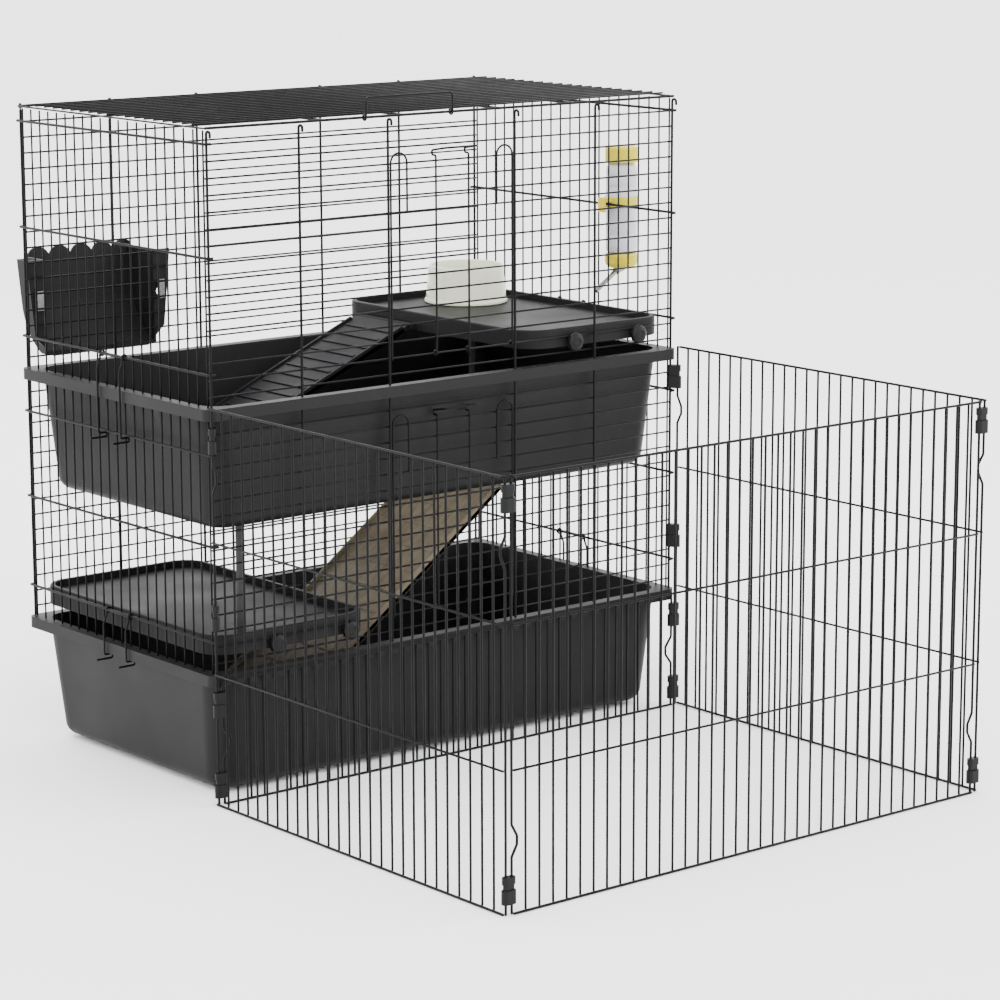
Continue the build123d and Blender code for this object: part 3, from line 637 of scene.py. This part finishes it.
class CAGE_OT_catches(bpy.types.Operator):
    """Build the wire catches that hold the tubs"""
    bl_idname = "rabbit_cage.catches"
    bl_label = "Tub Catches"

    def execute(self, context):
        w = wires()
        for side, word in ((-1, "left"), (1, "right")):
            for level, hinge_z, foot_z in (("lower", 0.240, 0.1714), ("upper", 0.630, 0.5101)):
                bm = bmesh.new()
                leg = [(0.467, foot_z - 0.0065), (0.439, foot_z - 0.0065), (0.439, foot_z), (0.453, foot_z),
                       (0.453, hinge_z - 0.022), (0.4473, hinge_z - 0.007), (0.4473, hinge_z)]
                near = [(side * x, -CATCH_HALF, z) for x, z in leg]
                far = [(side * x, CATCH_HALF, z) for x, z in reversed(leg)]
                add_wire(bm, near + far, w.hook, 0.0024)
                for y in (-CATCH_HALF, CATCH_HALF):
                    add_eye(bm, (side * 0.4434, y, hinge_z), (0, 1, 0), 0.0039, w.hook)
                node = f"tub_latch_{level}_{word}"
                finish_piece(bm, f"{node}_wire", node, "wire", [node])
        return {"FINISHED"}


# Playpen

def pen_wall(name, body, start, end, outward, gaps, levels, frame_levels, top, bump_z, bump_by):
    """One pen panel between two corner points on the ground, with a finger bend in each end wire."""
    w = wires()
    start, end, outward, up = Vector(start), Vector(end), Vector(outward), Vector((0, 0, 1))
    along = (end - start).normalized()
    feet = [start.lerp(end, number / gaps) for number in range(1, gaps)]
    weld_shift = outward * w.pen_mesh
    bm, beads = bmesh.new(), bmesh.new()
    for foot in feet:
        add_wire(bm, [foot + up * PEN_BASE, foot + up * top], w.pen_mesh, sides=8)
    for z in levels:
        shift = outward * 2 * w.pen_mesh + up * z
        add_wire(bm, [start + shift, end + shift], w.pen_mesh, sides=8)
        for foot in feet:
            add_nugget(beads, foot + weld_shift + up * z, 0.0015)
    for z in frame_levels:
        shift = outward * (w.pen_mesh + w.pen_frame) + up * z
        add_wire(bm, [start + shift, end + shift], w.pen_frame)
        for foot in feet:
            add_nugget(beads, foot + weld_shift + up * z, 0.0016)
    for corner, way in ((start, along), (end, -along)):
        bent = corner + way * bump_by
        path = [corner + up * 0.0002, corner + up * (bump_z - 0.022), bent + up * (bump_z - 0.006),
                bent + up * (bump_z + 0.006), corner + up * (bump_z + 0.022), corner + up * (top + 0.002)]
        add_wire(bm, path, w.pen_frame, 0.005)
    finish_piece(bm, f"{name}_wires", body, "wire", [name])
    finish_piece(beads, f"{name}_welds", body, "nuggets", ())


class CAGE_OT_pen(bpy.types.Operator):
    """Build the playpen panels"""
    bl_idname = "rabbit_cage.pen"
    bl_label = "Playpen"

    def execute(self, context):
        third = (PEN_TOP - PEN_BASE) / 3
        levels = (PEN_BASE + third, PEN_BASE + 2 * third)
        edges = (PEN_BASE, PEN_TOP)
        for side, word in ((-1, "left"), (1, "right")):
            x = side * PEN_X
            pen_wall(f"pen_{word}", f"pen_{word}", (x, PEN_BACK_Y, 0), (x, PEN_FRONT_Y, 0), (side, 0, 0),
                     27, levels, edges, PEN_TOP, 0.484, 0.009)
        pen_wall("pen_front", "pen_front", (-PEN_INNER_X, PEN_FRONT_Y, 0), (PEN_INNER_X, PEN_FRONT_Y, 0),
                 (0, -1, 0), 37, levels, edges, PEN_TOP, 0.100, 0.009)
        pen_wall("pen_short_back", "cage", (-PEN_INNER_X, PEN_BACK_Y, 0), (PEN_INNER_X, PEN_BACK_Y, 0),
                 (0, -1, 0), 37, (), (PEN_BASE, 0.185), 0.185, 0.092, 0.012)
        return {"FINISHED"}


# Fittings

def tilted_ramp(name, hinge, y_span, slope, length, deck, lip, cleats, cleat_rise, material):
    """Sloping board with rails, cross cleats and a rolled hinge barrel, drawn flat and then tilted."""
    bm = bmesh.new()
    low, high = y_span
    add_block(bm, (-length, low, -0.004), (-0.001, high, deck))
    for a, b in ((low, low + 0.005), (high - 0.005, high)):
        add_block(bm, (-length, a, -0.004), (-0.014, b, 0.004 + lip))
    count = int((length - 0.04) / cleats)
    for number in range(count):
        x = -0.03 - number * cleats
        add_block(bm, (x - 0.005, low + 0.012, 0.0032), (x, high - 0.012, 0.004 + lip * cleat_rise))
    tilt = Matrix.Translation((hinge[0], 0, hinge[1])) @ Matrix.Rotation(math.radians(-slope), 4, "Y")
    bmesh.ops.transform(bm, verts=bm.verts, matrix=tilt)
    finish_piece(bm, f"{name}_board", name, material, [name], bevel=0.0007)
    barrel = bmesh.new()
    place = Matrix.Translation((hinge[0], (low + high) / 2, hinge[1])) @ Matrix.Rotation(math.pi / 2, 4, "X")
    bmesh.ops.create_cone(barrel, cap_ends=False, segments=24, radius1=0.005, radius2=0.005,
                          depth=high - low, matrix=place)
    bmesh.ops.solidify(barrel, geom=barrel.faces[:], thickness=0.0024)
    finish_piece(barrel, f"{name}_barrel", name, material, ())


class CAGE_OT_ramps(bpy.types.Operator):
    """Build both ramps"""
    bl_idname = "rabbit_cage.ramps"
    bl_label = "Ramps"

    def execute(self, context):
        tilted_ramp("upper_ramp", (0.145, 0.612), (0.045, 0.185), slope=23.4, length=0.526, deck=0.004,
                    lip=0.004, cleats=0.026, cleat_rise=0.5, material="dark_ramp")
        tilted_ramp("lower_ramp", (0.181, 0.384), (-0.150, 0.050), slope=36.2, length=0.629, deck=0.0035,
                    lip=0.006, cleats=0.045, cleat_rise=0.12, material="board")
        return {"FINISHED"}


class CAGE_OT_bowl(bpy.types.Operator):
    """Build the food bowl"""
    bl_idname = "rabbit_cage.bowl"
    bl_label = "Bowl"

    def execute(self, context):
        low, high = PLANES["bowl"]
        centre = ((low.x + high.x) / 2, (low.y + high.y) / 2)
        z = low.z
        outline = [(0, 0.0012), (0.060, 0.0012), (0.063, 0), (0.067, 0), (0.0688, 0.0015), (0.069, 0.004),
                   (0.0682, 0.0062), (0.0668, 0.0076), (0.0662, 0.010), (0.0638, 0.034), (0.0617, 0.056),
                   (0.0612, 0.0595), (0.0600, 0.0615), (0.0587, 0.062), (0.0572, 0.0614), (0.0562, 0.0595),
                   (0.0553, 0.040), (0.0541, 0.019), (0.0520, 0.0128), (0.0480, 0.0106), (0.030, 0.010), (0, 0.010)]
        bm = bmesh.new()
        add_lathe(bm, [(r, z + h) for r, h in outline], centre, 72)
        finish_piece(bm, "bowl_glazed", "bowl", "glaze", ["bowl"])
        return {"FINISHED"}


class CAGE_OT_bottle(bpy.types.Operator):
    """Build the drinking bottle"""
    bl_idname = "rabbit_cage.bottle"
    bl_label = "Bottle"

    def execute(self, context):
        low, high = PLANES["bottle_body"]
        centre = ((low.x + high.x) / 2, (low.y + high.y) / 2)
        wall = 0.0252
        body = [(0.0186, 0.716), (0.020, 0.716), (0.0242, 0.7185), (0.0251, 0.7225), (wall, 0.728)]
        for level in (0.745, 0.768, 0.822, 0.838):
            body += [(wall, level), (wall - 0.0007, level + 0.0015), (wall, level + 0.003)]
        body += [(wall, 0.848), (0.0246, 0.8545), (0.0205, 0.8595), (0.0180, 0.861), (0.0172, 0.8605),
                 (0.0176, 0.859), (0.0230, 0.853), (0.0234, 0.846), (0.0234, 0.727), (0.0205, 0.7205),
                 (0.0188, 0.7175), (0.0186, 0.716)]
        bm = bmesh.new()
        add_lathe(bm, body, centre, 48)
        finish_piece(bm, "bottle_shell", "bottle", "bottle", ["bottle_body"])
        caps = {
            "bottle_top_cap": [(0, 0.862), (0.0246, 0.862), (0.026, 0.8635), (0.026, 0.884), (0.0254, 0.8865),
                               (0.0228, 0.888), (0, 0.888)],
            "bottle_low_cap": [(0, 0.690), (0.012, 0.690), (0.0215, 0.693), (0.0255, 0.697), (0.026, 0.700),
                               (0.026, 0.712), (0.0253, 0.7145), (0.0246, 0.715), (0, 0.715)],
        }
        for node, outline in caps.items():
            bm = bmesh.new()
            add_lathe(bm, outline, centre, 64)
            walls = [f for f in bm.faces if abs(f.normal.z) < 0.2 and f.calc_area() > 1e-5]
            bmesh.ops.inset_individual(bm, faces=walls, thickness=0.0003, depth=-0.0004)
            finish_piece(bm, f"{node}_grip", "bottle", "cap", [node])
        return {"FINISHED"}


def fluted_knob(node, side):
    """Clamp knob with finger flutes and a shank."""
    low, high = PLANES[node]
    x, z = (low.x + high.x) / 2, (low.z + high.z) / 2
    bm = bmesh.new()
    inner, outer = 0.2457, 0.2577
    outline = [(0, 0.2403), (0.003, 0.2403), (0.003, inner), (0.0138, inner), (0.0145, inner + 0.001),
               (0.0145, inner + 0.0075), (0.0130, inner + 0.0092), (0.0085, outer - 0.0003), (0.0060, outer),
               (0.0050, outer - 0.0012), (0, outer - 0.0012)]
    add_lathe(bm, outline, (0, 0), 40)
    for vert in bm.verts:
        reach = math.hypot(vert.co.x, vert.co.y)
        if reach > 0.0128:
            angle = math.atan2(vert.co.y, vert.co.x)
            dip = 1 - 0.05 * (0.5 - 0.5 * math.cos(8 * angle))
            vert.co.x *= dip
            vert.co.y *= dip
    turn = Matrix.Rotation(-side * math.pi / 2, 4, "X")
    bmesh.ops.transform(bm, verts=bm.verts, matrix=Matrix.Translation((x, 0, z)) @ turn)
    finish_piece(bm, f"{node}_fluted", node, "black_plastic", [node])


class CAGE_OT_knobs(bpy.types.Operator):
    """Build the platform clamp knobs"""
    bl_idname = "rabbit_cage.knobs"
    bl_label = "Clamp Knobs"

    def execute(self, context):
        for word in ("lower", "upper"):
            for number in (1, 2):
                fluted_knob(f"knob_{word}_front_{number}", -1)
                fluted_knob(f"knob_{word}_back_{number}", 1)
        return {"FINISHED"}


class CAGE_OT_mouldings(bpy.types.Operator):
    """Finish the tubs, platforms, rack, posts, clips and small parts"""
    bl_idname = "rabbit_cage.mouldings"
    bl_label = "Mouldings"

    def execute(self, context):
        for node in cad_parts:
            if node.endswith("_tub") or node == "hay_rack":
                node_material(node, "tub")
            elif node.endswith("_platform"):
                node_material(node, "platform")
            elif node.endswith("_post"):
                node_material(node, "post")
            elif node.startswith("clip_"):
                node_material(node, "black_plastic")
            elif node in ("upper_ramp_hinge", "lower_ramp_hinge"):
                node_material(node, "dark_ramp")
            elif node in ("hay_rack_studs", "bottle_nozzle"):
                node_material(node, "steel")
            elif node == "bottle_holder":
                node_material(node, "cap")
        return {"FINISHED"}


class CAGE_OT_stage(bpy.types.Operator):
    """Set up the floor, the lights and the camera"""
    bl_idname = "rabbit_cage.stage"
    bl_label = "Stage"

    def execute(self, context):
        scene = context.scene
        bm = bmesh.new()
        bmesh.ops.create_grid(bm, x_segments=1, y_segments=1, size=30.0)
        mesh = bpy.data.meshes.new("studio_floor")
        bm.to_mesh(mesh)
        bm.free()
        floor = bpy.data.objects.new("studio_floor", mesh)
        floor.location.z = CAD_BOX[0][2] - 0.0005
        scene.collection.objects.link(floor)
        paint = bpy.data.materials.new("studio_floor")
        paint.use_nodes = True
        shader = paint.node_tree.nodes["Principled BSDF"]
        shader.inputs["Base Color"].default_value = (0.97, 0.97, 0.97, 1)
        shader.inputs["Roughness"].default_value = 0.9
        mesh.materials.append(paint)
        world = bpy.data.worlds.new("studio")
        world.use_nodes = True
        sky = world.node_tree.nodes["Background"]
        sky.inputs["Color"].default_value = (1.0, 1.0, 1.0, 1)
        sky.inputs["Strength"].default_value = 3.3
        scene.world = world
        target = Vector((0, -0.3, 0.45))
        lamps = (("key", (-2.6, -3.0, 3.6), 120, 2.2), ("fill", (3.4, -2.2, 2.2), 45, 2.5),
                 ("rim", (0.6, 3.2, 3.0), 60, 2.0))
        for name, place, power, size in lamps:
            light = bpy.data.lights.new(f"{name}_softbox", "AREA")
            light.energy = power
            light.size = size
            lamp = bpy.data.objects.new(f"{name}_softbox", light)
            lamp.matrix_world = Matrix.Translation(place) @ facing(Vector(place) - target)
            scene.collection.objects.link(lamp)
        lens = bpy.data.cameras.new("camera")
        lens.sensor_width = 36.0
        lens.lens = 120.78
        lens.shift_x = -0.0433
        lens.shift_y = -0.002
        lens.clip_end = 100
        camera = bpy.data.objects.new("camera", lens)
        forward = Vector((0.62947, 0.75152, -0.19745))
        aim = forward.to_track_quat("-Z", "Y").to_matrix().to_4x4()
        camera.matrix_world = Matrix.Translation((-3.0959, -4.1540, 1.3996)) @ aim
        scene.collection.objects.link(camera)
        scene.camera = camera
        return {"FINISHED"}


class CAGE_PT_panel(bpy.types.Panel):
    """Steps that build the cage, in order."""
    bl_label = "Rabbit Cage"
    bl_idname = "CAGE_PT_panel"
    bl_space_type = "VIEW_3D"
    bl_region_type = "UI"
    bl_category = "Rabbit Cage"

    def draw(self, context):
        for step in STEPS:
            self.layout.operator(step.bl_idname)


STEPS = (CAGE_OT_stage, CAGE_OT_mouldings, CAGE_OT_walls, CAGE_OT_roof, CAGE_OT_doors, CAGE_OT_catches,
         CAGE_OT_pen, CAGE_OT_ramps, CAGE_OT_bowl, CAGE_OT_bottle, CAGE_OT_knobs)
CLASSES = (WireSettings, FinishSettings, *STEPS, CAGE_PT_panel)


def register():
    for item in CLASSES:
        bpy.utils.register_class(item)
    bpy.types.Scene.cage_wires = PointerProperty(type=WireSettings)
    bpy.types.Scene.cage_finish = PointerProperty(type=FinishSettings)


def unregister():
    del bpy.types.Scene.cage_finish
    del bpy.types.Scene.cage_wires
    for item in reversed(CLASSES):
        bpy.utils.unregister_class(item)


def main():
    register()
    MATERIALS.update(make_materials(bpy.context.scene.cage_finish))
    for step in STEPS:
        group, action = step.bl_idname.split(".")
        getattr(getattr(bpy.ops, group), action)()


if __name__ == "__main__":
    main()
